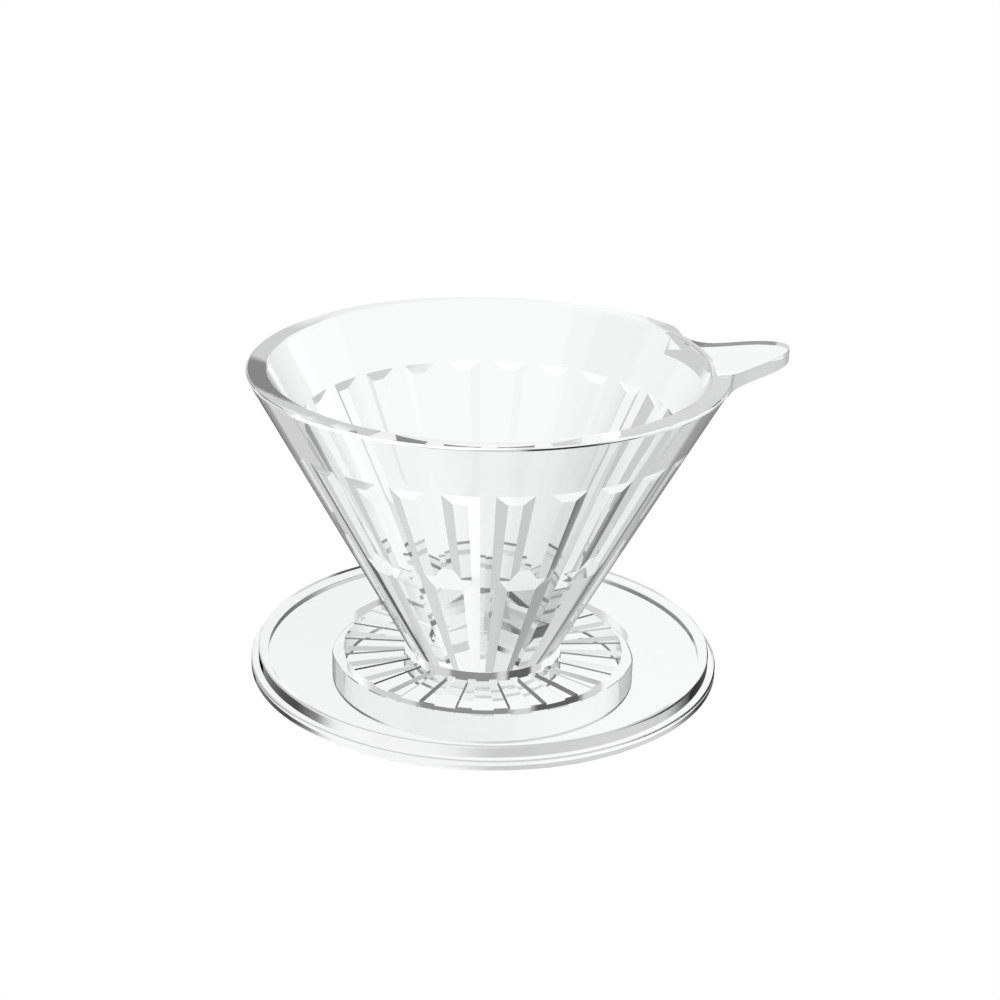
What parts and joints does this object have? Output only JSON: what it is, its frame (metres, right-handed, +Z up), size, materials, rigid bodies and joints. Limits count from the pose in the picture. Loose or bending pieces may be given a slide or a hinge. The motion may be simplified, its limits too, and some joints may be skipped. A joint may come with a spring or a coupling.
{
  "type": "pour over dripper",
  "caption": "Clear plastic cone dripper with a fluted inside wall and a thumb tab, lifting off a round two-step base whose ring locates it in a cup or server.",
  "frame": {"origin": "middle of the whole object's plan outline, at the foot of the locating ring; the cone's own vertical axis is at x = -8.25 mm", "axes": "+Z up along the cone's axis, +X towards the tip of the thumb tab"},
  "size_m": [0.1222, 0.1058, 0.077],
  "materials": {
    "clear_cone_plastic": "clear, polished injection-moulded copolyester",
    "clear_base_plastic": "clear, polished injection-moulded copolyester"
  },
  "bodies": {
    "base": {"base": "clear_base_plastic"},
    "cone": {"filter_cone": "clear_cone_plastic"}
  },
  "joints": [
    {"name": "cone_lift", "type": "slide", "parent": "base", "child": "cone", "axis": [0, 0, 1], "range_m": [0, 0.03]}
  ]
}
